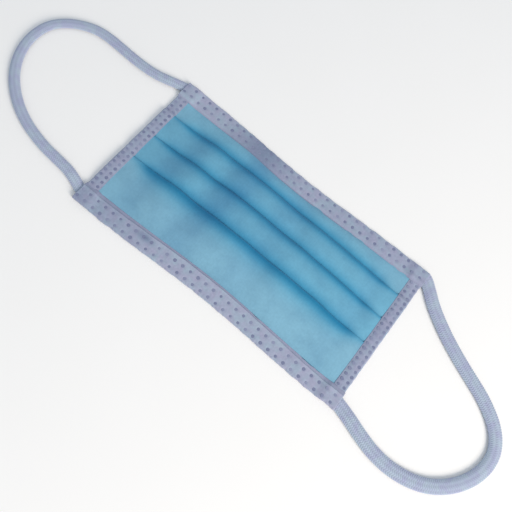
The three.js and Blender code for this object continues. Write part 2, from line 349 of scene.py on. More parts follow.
# %% The pressed ends and the whole tree
ALL_PRESSED = 4 * MM
PRESSED_SHARE = 0.5


def pressed_ends(tree, given, tube):
    near = add(tree, "GeometryNodeInputNamedAttribute", {"Name": "to_end"}).outputs["Attribute"]
    ends = {"Value": near, "From Min": ALL_PRESSED, "From Max": given["End Zone"]}
    thin = {**ends, "To Min": PRESSED_SHARE, "To Max": 1.0}
    thin = add(tree, "ShaderNodeMapRange", thin, interpolation_type="SMOOTHSTEP")
    lift = {**ends, "To Min": given["End Lift"], "To Max": 0.0}
    lift = add(tree, "ShaderNodeMapRange", lift, interpolation_type="SMOOTHSTEP")
    spot = add(tree, "ShaderNodeSeparateXYZ", {0: add(tree, "GeometryNodeInputPosition").outputs[0]})
    sockets = {0: spot.outputs["Z"], 1: thin.outputs["Result"], 2: lift.outputs["Result"]}
    height = add(tree, "ShaderNodeMath", sockets, operation="MULTIPLY_ADD")
    sockets = {"X": spot.outputs["X"], "Y": spot.outputs["Y"], "Z": height.outputs[0]}
    moved = add(tree, "ShaderNodeCombineXYZ", sockets)
    sockets = {"Geometry": tube.outputs[0], "Position": moved.outputs[0]}
    return add(tree, "GeometryNodeSetPosition", sockets)


def elastic_tree(material):
    sizes = ["Width", "Thickness", "Stitch", "Rib Height", "Wales", "End Zone", "End Lift", "End Width"]
    tree, given, result = geometry_tree("knitted_elastic_along_a_route", sizes)
    line = loop_line(tree, given)
    oval = flat_oval(tree, given)
    sockets = {"Curve": line.outputs[0], "Profile Curve": oval.outputs[0], "Fill Caps": True}
    tube = add(tree, "GeometryNodeCurveToMesh", sockets)
    tube = pressed_ends(tree, given, stitched(tree, given, tube))
    tube = add(tree, "GeometryNodeSetShadeSmooth", {0: tube.outputs[0]})
    tube = add(tree, "GeometryNodeRealizeInstances", {"Geometry": tube.outputs[0]})
    tube = add(tree, "GeometryNodeSetMaterial", {"Geometry": tube.outputs[0], "Material": material})
    tree.links.new(tube.outputs[0], result["Geometry"])
    return tree


knitting = elastic_tree(elastic)

# %% [markdown]
# ## Both loops
# The right loop has rolled a little on its side, so it looks narrower and stands higher than the left.

# %% The two ear loops
RIB_HEIGHT = 0.11 * MM
WALES = 6.0
END_ZONE = 13 * MM
END_LIFT = 0.5 * MM
LOOPS = {
    "ear_loop_right": {
        "route": RIGHT_ROUTE, "side": 1, "width": 6 * MM, "thickness": 2.6 * MM, "end_width": 0.66,
    },
    "ear_loop_left": {
        "route": LEFT_ROUTE, "side": -1, "width": 7.6 * MM, "thickness": 2.2 * MM, "end_width": 0.84,
    },
}


def ear_loop(name, route, side, width, thickness, end_width):
    line = smooth_route(route, side, thickness / 2 + (1 + WALE_SHARE) * RIB_HEIGHT)
    mesh = bpy.data.meshes.new(name)
    mesh.from_pydata(line.tolist(), [(i, i + 1) for i in range(len(line) - 1)], [])
    piece = bpy.data.objects.new(name, mesh)
    bpy.context.collection.objects.link(piece)
    values = {
        "Width": width,
        "Thickness": thickness,
        "Stitch": STITCH_LENGTH,
        "Rib Height": RIB_HEIGHT,
        "Wales": WALES,
        "End Zone": END_ZONE,
        "End Lift": END_LIFT,
        "End Width": end_width,
    }
    run_tree(piece, knitting, values)
    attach(piece, "root")
    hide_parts(name)


for name, loop in LOOPS.items():
    ear_loop(name, **loop)

# %% [markdown]
# ## Sizes of the mask's body
# These are the solid model's sizes with the cloth at its true thickness. The blue cloth shows in a
# window between the four strips. PRESSED is the height of one layer on another where they are flat.

# %% Sizes of the body
HALF_LENGTH = 87.5 * MM
HALF_WIDTH = 47.5 * MM
LONG_STRIP = 10.5 * MM
SIDE_STRIP = 7.6 * MM
WINDOW_X = HALF_LENGTH - SIDE_STRIP
WINDOW_Y = HALF_WIDTH - LONG_STRIP
SHEET = 0.5 * MM
STRIP = 0.38 * MM
GAP = 0.05 * MM
PRESSED = SHEET + GAP
print("window, mm:", round(2 * WINDOW_X / MM, 1), "by", round(2 * WINDOW_Y / MM, 1))

# %% [markdown]
# ## Plain functions along the mask
# Cloth this thin has no shape of its own, so the lie of it is a sum of plain functions of the place on
# the table. A cloth simulation could do this too, but its buckles would not fall where the real ones do.
# These first functions say how full the body is and how far its long edges are drawn in, and give soft
# random waves that are the same on every run.

# %% Functions of the place along the mask
EDGE_PINCH = 2.2 * MM
PINCH_POWER = 2.5
EDGE_OUT = {1: 0.9 * MM, -1: 0.25 * MM}
EDGE_SKEW = 0.45 * MM
SEED_STEP = (31.7, 17.3, 5.1)


def ease(share):
    share = np.clip(share, 0, 1)
    return share * share * (3 - 2 * share)


def hump(away, reach):
    """1 in the middle and almost nothing at twice its reach."""
    return math.exp(-((away / reach) ** 2))


def swell(x):
    return np.cos(math.pi / 2 * np.clip(x / WINDOW_X, -1, 1))


def fullness(x):
    return 1 - np.clip(np.abs(x / WINDOW_X), 0, 1) ** 3


def pinch(x):
    """How far the long edges are drawn in, most in a short stretch at mid length."""
    return EDGE_PINCH * swell(x) ** PINCH_POWER


def outer_edge(x, side):
    """Distance of a long edge from the middle before it is drawn in: the mask is a little wider at +X."""
    return HALF_WIDTH + EDGE_OUT[side] + EDGE_SKEW * x / HALF_LENGTH


def wave(x, y, size, seed):
    """Smooth noise between about -1 and 1, with bumps about size wide. A seed is another place in it."""
    far = [step * seed for step in SEED_STEP]
    return noise.noise((x / size + far[0], y / size + far[1], far[2]))


def waves(x, y, rows):
    """Several of those waves on top of each other, each by its own height."""
    return sum(row["by"] * wave(x, y, row["size"], row["seed"]) for row in rows)


print("width at mid length, mm:", round(sum(outer_edge(0, side) - pinch(0) for side in (1, -1)) / MM, 1))

# %% [markdown]
# ## Buckles
# The folded cloth can't bend two ways at once, so it breaks into soft ridges and dips across the pleats.
# Each row below is one of them. Its place at mid width, its lean towards +X at the nose side and its
# reach are shares of the window's half length, and its rise is a share of the height.

# %% Ridges and dips across the pleats
BUCKLE_HEIGHT = 1.0 * MM
BUCKLES = [
    {"at": 0.81, "lean": 0.05, "reach": 0.09, "rise": -0.6},
    {"at": 0.62, "lean": 0.03, "reach": 0.09, "rise": 0.75},
    {"at": 0.43, "lean": 0.03, "reach": 0.10, "rise": -1.1},
    {"at": 0.18, "lean": 0.0, "reach": 0.13, "rise": 0.8},
    {"at": -0.13, "lean": 0.0, "reach": 0.11, "rise": -0.4},
    {"at": -0.31, "lean": 0.0, "reach": 0.10, "rise": 0.4},
    {"at": -0.84, "lean": 0.0, "reach": 0.09, "rise": -0.4},
]


def buckles(x, y):
    total = 0
    for row in BUCKLES:
        place = row["at"] + row["lean"] * y / WINDOW_Y
        total += row["rise"] * hump(x / WINDOW_X - place, row["reach"])
    return total


deepest = min(buckles(x, 0) for x in np.linspace(0, WINDOW_X)) * BUCKLE_HEIGHT
print("deepest dip, mm:", round(deepest / MM, 2))

# %% [markdown]
# ## The height of the lowest layer
# The body is a long arch that puffs up between the pressed ends. It pulls the inner edges of the long
# strips up with it, and the chin strip curls up most at one place. At the corners the cloth is higher,
# because the elastic lies in the seam. Every layer of cloth uses the same height, so no two layers cross.

# %% Tilt of the strips, level of the edges and the ground
EDGE_LEVEL = 0.75 * MM
CORNER_LIFT = 0.95 * MM
CORNER_FROM = (74 * MM, 34.5 * MM)
CORNER_OVER = (6 * MM, 5 * MM)
NOSE_TILT = 0.7 * MM
CHIN_TILT = 0.8 * MM
CHIN_CURL = 1.9 * MM
CHIN_CURL_X = 33 * MM
CHIN_CURL_REACH = 16 * MM
BODY_RISE = 2.7 * MM
ARCH_POWER = 2.5
FREE_FROM_ENDS = 2.5
FREE_FROM_STRIPS = 1.6
LOOSE_WAVES = [{"size": 26 * MM, "seed": 1, "by": 0.5}, {"size": 11 * MM, "seed": 2, "by": 0.25}]


def tilt(x, y):
    """Lift of a long strip, none at its outer edge and most at the window: the full body pulls it up."""
    share = min(1, max(0, (HALF_WIDTH - abs(y)) / LONG_STRIP))
    nose = NOSE_TILT * swell(x)
    chin = CHIN_TILT * swell(x) + CHIN_CURL * hump(x - CHIN_CURL_X, CHIN_CURL_REACH)
    across = ease((y / WINDOW_Y + 1) / 2)
    return share * (chin + (nose - chin) * across)


def edge_level(x, y):
    """Height of the sheet's middle at the edges, higher where an elastic is under it."""
    corner = ease((abs(x) - CORNER_FROM[0]) / CORNER_OVER[0])
    corner *= ease((abs(y) - CORNER_FROM[1]) / CORNER_OVER[1])
    return EDGE_LEVEL + CORNER_LIFT * corner + tilt(x, y)


def ground(x, y):
    """Height of the lowest layer's middle. Buckles and waves die out towards the strips."""
    across = 1 - min(1, abs(y) / WINDOW_Y) ** ARCH_POWER
    free = min(1, FREE_FROM_ENDS * fullness(x)) * min(1, FREE_FROM_STRIPS * across)
    loose = BUCKLE_HEIGHT * (buckles(x, y) + waves(x, y, LOOSE_WAVES)) * free
    return edge_level(x, y) + BODY_RISE * swell(x) * across + loose


print("lowest layer at mid length, mm:", round(ground(0, 0) / MM, 1))

# %% [markdown]
# ## The three pleats
# They run from the chin edge to the nose edge. Each row gives the place of the fold line as a share of
# the window's width, how far the line has moved at mid length, how full the pleat is, and over what
# distance its top rises from the fold line and falls to the next. Every pleat opens towards the chin.

# %% The pleats and the layer that shows
FOLD_DEPTH = 10 * MM
FOLD_RADIUS = 0.35 * MM
FOLD_LEVEL = PRESSED + FOLD_RADIUS
PLEAT_HEIGHT = 3.5 * MM
CHIN_BULGE = 1.5 * MM
CHIN_UP_BY = 0.4
CHIN_DOWN_FROM = 0.3
PLEATS = [
    {"edge": 0.164, "shift": -0.4 * MM, "full": 0.9, "rise": 7 * MM, "fall": 8 * MM},
    {"edge": 0.395, "shift": -1.3 * MM, "full": 1.0, "rise": 7 * MM, "fall": 8 * MM},
    {"edge": 0.626, "shift": -0.9 * MM, "full": 0.95, "rise": 10 * MM, "fall": 15 * MM},
]
for pleat in PLEATS:
    pleat["y"] = WINDOW_Y * (2 * pleat["edge"] - 1)


def pleat_at(y):
    """The pleat whose top layer covers y, and the y where it goes in under the next one."""
    index = max((i for i, pleat in enumerate(PLEATS) if pleat["y"] <= y), default=None)
    if index is None:
        return None, PLEATS[0]["y"]
    after = PLEATS[index + 1]["y"] if index + 1 < len(PLEATS) else WINDOW_Y
    return PLEATS[index], after


def round_up(share):
    """Steep at first and level at 1, as a quarter of a circle is."""
    return math.sqrt(max(0, 1 - (1 - min(1, share)) ** 2))


def skin_height(x, y):
    """Height of the layer that shows, over the ground: a soft roll at the fold line and a long fall."""
    full = fullness(x)
    pleat, after = pleat_at(y)
    if pleat is None:
        on = (y + WINDOW_Y) / (after + WINDOW_Y)
        down = 1 - max(0, (on - CHIN_DOWN_FROM) / (1 - CHIN_DOWN_FROM)) ** 2
        return CHIN_BULGE * full * round_up(on / CHIN_UP_BY) * down
    top = 2 * PRESSED + (PLEAT_HEIGHT * pleat["full"] - 2 * PRESSED) * full
    down = 1 - max(0, 1 - (after - y) / pleat["fall"]) ** 2
    return down * (FOLD_LEVEL + (top - FOLD_LEVEL) * round_up((y - pleat["y"]) / pleat["rise"]))


print("fold lines at y, mm:", [round(pleat["y"] / MM, 1) for pleat in PLEATS])

# %% [markdown]
# ## Folding the sheet
# A knife pleat is a Z: the sheet runs in under the fold line, turns back, comes out again at the fold
# line and turns once more on to the top. We write that path down once as a chain of short stretches, for
# one cut across the mask, and then repeat the cut at many places along it.

# %% One cut across the folded sheet
IN_STACK = 0.5
IN_FOLD = 1
FOLD_OPEN = 0.8 * MM
HAIR = 1e-6
POINTS = {"edge": 7, "chin": 24, "under": 6, "turn": 7, "roll": 5, "top": 32, "nose_top": 44}


def arc(centre, radius, start, end, steps):
    angles = np.radians(np.linspace(start, end, steps))
    return [(centre[0] + radius * math.cos(a), centre[1] + radius * math.sin(a)) for a in angles]


def folded_path(x):
    """The sheet's middle line at x as rows of y, height over the ground, and tone where it is fixed."""
    edge = HALF_WIDTH - STRIP - GAP
    path = [(y, 0, IN_STACK) for y in np.linspace(-edge, -WINDOW_Y, POINTS["edge"])[:-1]]
    chin_panel = np.linspace(-WINDOW_Y, PLEATS[0]["y"], POINTS["chin"])[:-1]
    path += [(y, skin_height(x, y), None) for y in chin_panel]
    for pleat in PLEATS:
        inner = (PRESSED + FOLD_OPEN * fullness(x)) / 2
        turn_y = pleat["y"] + FOLD_DEPTH - inner
        path += [(y, 0, IN_FOLD) for y in np.linspace(pleat["y"], turn_y, POINTS["under"])[:-1]]
        path += [(y, z, IN_FOLD) for y, z in arc((turn_y, inner), inner, -90, 90, POINTS["turn"])]
        roll_y = pleat["y"] + FOLD_RADIUS
        for share in np.linspace(1, 0, POINTS["turn"])[1:-1]:
            height = PRESSED + share * (2 * inner - PRESSED)
            path.append((roll_y + share * (turn_y - roll_y), height, IN_FOLD))
        roll = arc((roll_y, FOLD_LEVEL), FOLD_RADIUS, -90, -180, POINTS["roll"])[:-1]
        path += [(y, z, IN_FOLD) for y, z in roll]
        after = pleat_at(pleat["y"])[1]
        count = POINTS["top"] if pleat is not PLEATS[-1] else POINTS["nose_top"]
        shares = (1 - np.cos(np.linspace(0, math.pi, count))) / 2
        spots = pleat["y"] + shares * (after - pleat["y"])
        path += [(y, skin_height(x, min(y, after - HAIR)), None) for y in spots[:-1]]
    path += [(y, 0, IN_STACK) for y in np.linspace(WINDOW_Y, edge, POINTS["edge"])]
    return path


print("points on one cut:", len(folded_path(0)))

# %% [markdown]
# ## Lines that wander
# On the real mask the fold lines aren't straight. They follow the drawn-in edges, each has slipped a
# little at mid length, and they wander by a few tenths of a millimetre. The path above stays straight,
# and this function moves each of its points along Y.

# %% Where a point of the straight path lies
WANDER = 0.35 * MM
WANDER_SIZE = 16 * MM
WANDER_SEED = 7


def drawn_in(x, y):
    knots = [-WINDOW_Y] + [pleat["y"] for pleat in PLEATS] + [WINDOW_Y]
    shifts = [pinch(x)] + [pleat["shift"] * swell(x) for pleat in PLEATS] + [-pinch(x)]
    wander = [0] + [WANDER * wave(x, 0, WANDER_SIZE, WANDER_SEED + i) for i in range(len(PLEATS))] + [0]
    moves = [shift + slip * min(1, 2 * fullness(x)) for shift, slip in zip(shifts, wander)]
    return y + float(np.interp(y, knots, moves))


print("middle fold line at mid length, mm:", round(drawn_in(0, PLEATS[1]["y"]) / MM, 1))

# %% [markdown]
# ## Painted shade in the buckles
# Soft dark patches are painted where the buckles dip or slope away from the lamp, as painted shade. Each
# row below is one band of them across the mask: its place at mid width and its lean and reach in mm, how
# strong it is, and the share of that which is left on the chin panel.

# %% Patches of painted shade in the buckles
BUCKLE_SHADE_BANDS = [
    {"at": 59, "lean": 6, "reach": 8, "more": 0.45, "chin": 0},
    {"at": 26, "lean": 5, "reach": 11, "more": 0.75, "chin": 1},
    {"at": -7, "lean": 0, "reach": 13, "more": 0.35, "chin": 1},
    {"at": -66, "lean": 0, "reach": 8, "more": 0.25, "chin": 0.5},
]
CHIN_TO = (-0.9, 0.3)
NOSE_FROM = (0.1, 0.5)
LESS_AT_NOSE = 0.35
PATCHY = 0.4
PATCH_SIZE = 14 * MM
PATCH_SEED = 61


# Painted shade: darker bands where the buckles dip, weaker at the nose and patchy.
def painted_buckle_shade(x, y):
    total = 0
    on_chin = 1 - ease((y / WINDOW_Y - CHIN_TO[0]) / CHIN_TO[1])
    for row in BUCKLE_SHADE_BANDS:
        place = row["at"] + row["lean"] * y / WINDOW_Y
        more = row["more"] * (1 + (row["chin"] - 1) * on_chin)
        total += more * hump(x / MM - place, row["reach"])
    at_nose = ease((y / WINDOW_Y - NOSE_FROM[0]) / NOSE_FROM[1])
    patch = 1 + PATCHY * wave(x, y, PATCH_SIZE, PATCH_SEED)
    return total * patch * (1 - LESS_AT_NOSE * at_nose)


print("strongest cling at mid width:", round(max(painted_buckle_shade(x * MM, 0) for x in range(-80, 80)), 2))

# %% [markdown]
# ## Layer tone and painted crease shade
# Every point gets a tone: 0 on a single layer, about a third where blue layers lie under it and 1 in a
# fold. Painted shade darkens the cloth on both sides of each fold line, and the chin panel gets a little
# painted shade, most at mid length. Each shadow is a strength, a reach in mm and a steepness. The painted
# shadows narrow towards the side strips, which press the folds flat.

# %% The tone of the cloth, with painted crease shade
PAST_NOSE_FOLD = (1.1, 7.6, 1.6)
PAST_FOLD = (0.72, 3.8, 1.6)
UP_TO_FOLD = (0.5, 3.6, 1.6)
UP_TO_CHIN_FOLD = (0.75, 5, 1.5)
STACK_TONE = 0.36
CHIN_TONE = 0.06
CHIN_MID_TONE = 0.14
FLAT_FROM = 66 * MM
FLAT_OVER = 12 * MM
FLAT_LESS_IN_FOLD = 0.8
FLAT_LESS_SHADOW = 0.5
NARROWED = 0.75
NARROW_POWER = 6
FAR = 99


def shadow(away, spread, strength, reach, steepness):
    return strength * math.exp(-((away / spread / reach) ** steepness))


def layer_tone_and_crease_shade(x, y, fixed):
    flat = ease((abs(x) - FLAT_FROM) / FLAT_OVER)
    if fixed is not None:
        return fixed * (1 - FLAT_LESS_IN_FOLD * flat)
    pleat, after = pleat_at(min(y, WINDOW_Y - HAIR))
    since = (y - pleat["y"]) / MM if pleat else FAR
    until = (after - y) / MM if pleat is not PLEATS[-1] else FAR
    strong = 1 - FLAT_LESS_SHADOW * flat
    spread = 1 - NARROWED * min(1, abs(x / WINDOW_X)) ** NARROW_POWER
    if pleat is PLEATS[-1]:
        tone = strong * shadow(since, spread, *PAST_NOSE_FOLD)
    elif pleat is None:
        # Painted shade on the chin panel, most at mid length.
        tone = CHIN_TONE + CHIN_MID_TONE * (1 - (x / WINDOW_X) ** 2)
        tone += strong * shadow(until, spread, *UP_TO_CHIN_FOLD)
    else:
        # Painted shade on both sides of the fold lines, over the deeper blue of the stacked layers.
        near = shadow(since, spread, *PAST_FOLD) + shadow(until, spread, *UP_TO_FOLD)
        tone = STACK_TONE + strong * near
    return min(1, tone)


print("tone on the chin panel at mid length:", round(layer_tone_and_crease_shade(0, -WINDOW_Y, None), 2))

# %% [markdown]
# ## Closed bodies from rings
# The sheet and the four strips are all long bodies with the same kind of cut all along. A helper joins
# equal rings of points into one closed mesh, caps its ends and turns the faces outwards. It also stores
# the tones that it is given for each point, which the materials read as attributes.

# %% Lofting helper
def loft(name, rings, **tones):
    rings = np.array(rings, float)
    stations, count = rings.shape[:2]
    faces = []
    for i in range(stations - 1):
        for j in range(count):
            k = (j + 1) % count
            faces.append((i * count + j, i * count + k, (i + 1) * count + k, (i + 1) * count + j))
    faces.append(tuple(range(count)))
    faces.append(tuple(range(stations * count - 1, (stations - 1) * count - 1, -1)))
    mesh = bpy.data.meshes.new(name)
    mesh.from_pydata(rings.reshape(-1, 3).tolist(), [], faces)
    work = bmesh.new()
    work.from_mesh(mesh)
    bmesh.ops.recalc_face_normals(work, faces=work.faces)
    work.to_mesh(mesh)
    work.free()
    mesh.polygons.foreach_set("use_smooth", [True] * len(mesh.polygons))
    for attribute, values in tones.items():
        mesh.attributes.new(attribute, "FLOAT", "POINT").data.foreach_set("value", np.ravel(values))
    piece = bpy.data.objects.new(name, mesh)
    bpy.context.collection.objects.link(piece)
    print(name, "is lofted from", stations, "rings of", count, "points")
    return piece


# %% [markdown]
# ## Relief of a spunbond cloth
# All the cloth here is spunbond polypropylene: hot filaments blown on to a belt in a random web and
# bonded with a fine grid of heated points. Real points are about a millimetre apart. They are drawn
# 1.6 mm apart and the web about as coarse, because a picture of this size can't show finer ones. Both
# are shallower than the cloth is thick, so they are bump and not mesh.

# %% Web and bond points
BOND_SPACING = 1.6 * MM
BOND_JITTER = 0.25
WEB_RELIEF = 0.15 * MM
WEB_BUMP = 0.3


def web_and_points(tree, shader, place, web, web_share):
    sockets = {"Vector": place, "Scale": 1 / BOND_SPACING, "Randomness": BOND_JITTER}
    points = add(tree, "ShaderNodeTexVoronoi", sockets)
    sockets = {0: web.outputs["Fac"], 1: web_share, 2: points.outputs["Distance"]}
    relief = add(tree, "ShaderNodeMath", sockets, operation="MULTIPLY_ADD")
    sockets = {"Height": relief.outputs[0], "Strength": WEB_BUMP, "Distance": WEB_RELIEF}
    bump = add(tree, "ShaderNodeBump", sockets)
    tree.links.new(bump.outputs["Normal"], shader.inputs["Normal"])


print("bond points for each square centimetre:", round((10 * MM / BOND_SPACING) ** 2))

# %% [markdown]
# ## Blue and white nonwoven
# The outer ply is blue. It is matt and slightly see-through, so it looks deeper where more blue layers
# lie under it. Its colour follows the tone through four stops, and the darker stops also carry the painted
# shade beside the fold lines. The web shows as a faint cloudiness, with thin spots where the lower layers
# shine through greyer; the painted shade of the buckles darkens through the same tint. The inner ply is
# the same cloth in white.

# %% Material of the panel's plies
CLOUD_SIZE = 9 * MM
WEB_SIZE = 1.5 * MM
NOISE_RANGE = {"From Min": 0.3, "From Max": 0.7}
THIN_SPOTS = {"From Min": 0.54, "From Max": 0.3, "To Max": 0.2}
SHADE_AND_SEEN_THROUGH = "#CFDDEC"


def spunbond(name, stops, cloudiness, grain):
    material, tree, shader = bare_material(name, roughness=0.8, sheen=0.15)
    place = add(tree, "ShaderNodeTexCoord").outputs["Object"]
    fold = add(tree, "ShaderNodeAttribute", attribute_name="fold").outputs["Fac"]
    depth = add(tree, "ShaderNodeValToRGB", {"Fac": fold})
    fill_ramp(depth, stops)
    cloud = add(tree, "ShaderNodeTexNoise", {"Vector": place, "Scale": 1 / CLOUD_SIZE, "Detail": 3})
    web = add(tree, "ShaderNodeTexNoise", {"Vector": place, "Scale": 1 / WEB_SIZE, "Detail": 4})
    factors = []
    for pattern, strength in ((cloud, cloudiness), (web, grain)):
        sockets = {"Value": pattern.outputs["Fac"], "To Min": 1 - strength, "To Max": 1 + strength}
        sockets.update(NOISE_RANGE)
        factors.append(add(tree, "ShaderNodeMapRange", sockets).outputs[0])
    both = add(tree, "ShaderNodeMath", {0: factors[0], 1: factors[1]}, operation="MULTIPLY")
    # The painted buckle shade and the random thin spots darken through one greyer tint.
    buckle_shade = add(tree, "ShaderNodeAttribute", attribute_name="buckle_shade").outputs["Fac"]
    thin = add(tree, "ShaderNodeMapRange", {"Value": cloud.outputs["Fac"], **THIN_SPOTS})
    buckle_shade = add(tree, "ShaderNodeMath", {0: buckle_shade, 1: thin.outputs[0]}, operation="ADD")
    sockets = {0: buckle_shade.outputs[0], 6: depth.outputs["Color"], 7: linear(SHADE_AND_SEEN_THROUGH)}
    tinted = add(tree, "ShaderNodeMix", sockets, data_type="RGBA", blend_type="MULTIPLY")
    sockets = {0: tinted.outputs[2], "Scale": both.outputs[0]}
    shade = add(tree, "ShaderNodeVectorMath", sockets, operation="SCALE")
    tree.links.new(shade.outputs["Vector"], shader.inputs["Base Color"])
    web_and_points(tree, shader, place, web, web_share=0.5)
    return material


# The darker stops are painted shade beside the fold lines, over the deeper blue of stacked layers.
blue_stops = [(0.0, "#7FB0C6"), (0.36, "#6CA9C3"), (0.7, "#4897B9"), (1.0, "#1E80A8")]
blue_cloth = spunbond("blue_spunbond_polypropylene", blue_stops, cloudiness=0.035, grain=0.04)
white_stops = [(0.0, "#DFE4E8"), (1.0, "#CDD5DC")]
white_cloth = spunbond("white_spunbond_polypropylene", white_stops, cloudiness=0.02, grain=0.02)

# %% [markdown]
# ## One ring of the sheet
# The two faces of the cloth are the path moved out by half its thickness to either side, square to the
# way it runs. So the sheet is a closed body with folds that have depth, and not a surface.

# %% One ring of the sheet
def sheet_ring(x):
    path = folded_path(x)
    middle = np.array([[drawn_in(x, y), ground(x, y) + z] for y, z, _ in path])
    tone = [layer_tone_and_crease_shade(x, y, fixed) for y, _, fixed in path]
    buckle_shade = [painted_buckle_shade(x, y) for y, _, _ in path]
    ahead = np.vstack([middle[1:], middle[-1:]])
    behind = np.vstack([middle[:1], middle[:-1]])
    run = ahead - behind
    run /= np.linalg.norm(run, axis=1)[:, None]
    normal = np.column_stack([-run[:, 1], run[:, 0]])
    above = middle + normal * SHEET / 2
    below = middle - normal * SHEET / 2
    ring = np.vstack([above, below[::-1]])
    return {
        "ring": np.column_stack([np.full(len(ring), x), ring]),
        "fold": tone + tone[::-1],
        "buckle_shade": buckle_shade + buckle_shade[::-1],
        "length": run_length(middle),
    }


print("the path is", round(sheet_ring(0)["length"] / MM, 1), "mm long at mid length")

# %% [markdown]
# ## The pleated panel
# Now the cut is repeated at 140 stations, and the length of the path at the end says how wide the sheet
# was before it was folded. The face that shows is blue and the one that touches the wearer is white, so
# each face of the mesh gets its material from the side of the ring it is on.

# %% The pleated panel
WINDOW_STATIONS = 130
MARGIN_STATIONS = 6


def pleated_panel():
    end_x = HALF_LENGTH - STRIP - GAP
    margin = np.linspace(WINDOW_X, end_x, MARGIN_STATIONS)[1:]
    window = np.linspace(-WINDOW_X, WINDOW_X, WINDOW_STATIONS)
    stations = np.concatenate([-margin[::-1], window, margin])
    cuts = [sheet_ring(x) for x in stations]
    tones = {tone: [cut[tone] for cut in cuts] for tone in ("fold", "buckle_shade")}
    piece = loft("pleated_panel", [cut["ring"] for cut in cuts], **tones)
    piece.data.materials.append(blue_cloth)
    piece.data.materials.append(white_cloth)
    count = len(cuts[0]["ring"])
    outer = count // 2 - 1
    sides = [0 if i % count < outer else 1 for i in range((len(stations) - 1) * count)] + [1, 1]
    piece.data.polygons.foreach_set("material_index", sides)
    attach(piece, "root")
    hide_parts("pleated_panel")


pleated_panel()

# %% [markdown]
# ## Lavender grey binding cloth
# The strips are the same kind of cloth in a pale lavender grey. Two layers of it lie over the panel, so
# the colour is cloudier, with pinker and greyer patches a few millimetres wide. The lower layer, which
# shows beside the blue panel, is a little pinker and darker than the top one. Where a strip carries
# painted shade or a random smear, it is darker and bluer.

# %% Material of the strips
TINT_PATCH = 5 * MM
SMEAR_SIZE = 9 * MM
SMEARS = {"From Min": 0.5, "From Max": 0.75, "To Max": 0.2}
STRIP_WEB_SIZE = 1.2 * MM
STRIP_GRAIN = {"To Min": 0.86, "To Max": 1.14}
LOWER_LAYER = "#9C9EB6"
SHADE_AND_SMEAR_BLUE = "#6F7D9A"


def binding_cloth():
    name = "lavender_spunbond_polypropylene"
    material, tree, shader = bare_material(name, roughness=0.8, sheen=0.15)
    place = add(tree, "ShaderNodeTexCoord").outputs["Object"]
    fold = add(tree, "ShaderNodeAttribute", attribute_name="fold").outputs["Fac"]
    patch = add(tree, "ShaderNodeTexNoise", {"Vector": place, "Scale": 1 / TINT_PATCH, "Detail": 3})
    tint = add(tree, "ShaderNodeValToRGB", {"Fac": patch.outputs["Fac"]})
    fill_ramp(tint, [(0.35, "#A4A6BD"), (0.65, "#A1B0C1")])
    sockets = {0: fold, 6: tint.outputs["Color"], 7: linear(LOWER_LAYER)}
    lower = add(tree, "ShaderNodeMix", sockets, data_type="RGBA")
    # Painted shade on the strips, with random smears added to it.
    pressed = add(tree, "ShaderNodeAttribute", attribute_name="pressed").outputs["Fac"]
    smear = add(tree, "ShaderNodeTexNoise", {"Vector": place, "Scale": 1 / SMEAR_SIZE, "Detail": 3})
    smear = add(tree, "ShaderNodeMapRange", {"Value": smear.outputs["Fac"], **SMEARS})
    pressed = add(tree, "ShaderNodeMath", {0: pressed, 1: smear.outputs[0]}, operation="ADD")
    sockets = {0: pressed.outputs[0], 6: lower.outputs[2], 7: linear(SHADE_AND_SMEAR_BLUE)}
    marked = add(tree, "ShaderNodeMix", sockets, data_type="RGBA")
    web = add(tree, "ShaderNodeTexNoise", {"Vector": place, "Scale": 1 / STRIP_WEB_SIZE, "Detail": 4})
    grain = add(tree, "ShaderNodeMapRange", {"Value": web.outputs["Fac"], **STRIP_GRAIN})
    sockets = {0: marked.outputs[2], "Scale": grain.outputs[0]}
    shade = add(tree, "ShaderNodeVectorMath", sockets, operation="SCALE")
    tree.links.new(shade.outputs["Vector"], shader.inputs["Base Color"])
    web_and_points(tree, shader, place, web, web_share=0.8)
    return material


binding = binding_cloth()

# %% [markdown]
# ## Fused film
# A weld melts the fibres into a clear film, which is smoother and darker than the cloth. Not every spot
# has melted equally well, so the tree below gives each its own number, and the cloudier ones are paler.

# %% Material of the welds
FILM_PATCH = 0.6 * MM
CLOUDY_FILM = {"From Min": 0.35, "To Max": 0.75}


def fused_weld():
    material, tree, shader = bare_material("fused_polypropylene_weld", roughness=0.5, sheen=0)
    place = add(tree, "ShaderNodeTexCoord").outputs["Object"]
    patch = add(tree, "ShaderNodeTexNoise", {"Vector": place, "Scale": 1 / FILM_PATCH, "Detail": 2})
    tint = add(tree, "ShaderNodeValToRGB", {"Fac": patch.outputs["Fac"]})
    fill_ramp(tint, [(0.3, "#727895"), (0.7, "#8389A5")])
    melt = add(tree, "ShaderNodeAttribute", attribute_name="melt").outputs["Fac"]
    cloudy = add(tree, "ShaderNodeMapRange", {"Value": melt, **CLOUDY_FILM})
    sockets = {0: cloudy.outputs[0], 6: tint.outputs["Color"], 7: linear("#9BA1BA")}
    film = add(tree, "ShaderNodeMix", sockets, data_type="RGBA")
    tree.links.new(film.outputs[2], shader.inputs["Base Color"])
    return material


weld = fused_weld()

# %% [markdown]
# ## Ultrasonic welds
# A toothed wheel welds the strips to the panel with two rows of small round spots. Placing over two
# hundred of them by hand makes no sense, so a geometry tree lays a grid of points over the strip. The
# rows follow the long edges, which are drawn in at the middle, and each point then drops on to the cloth
# from above.

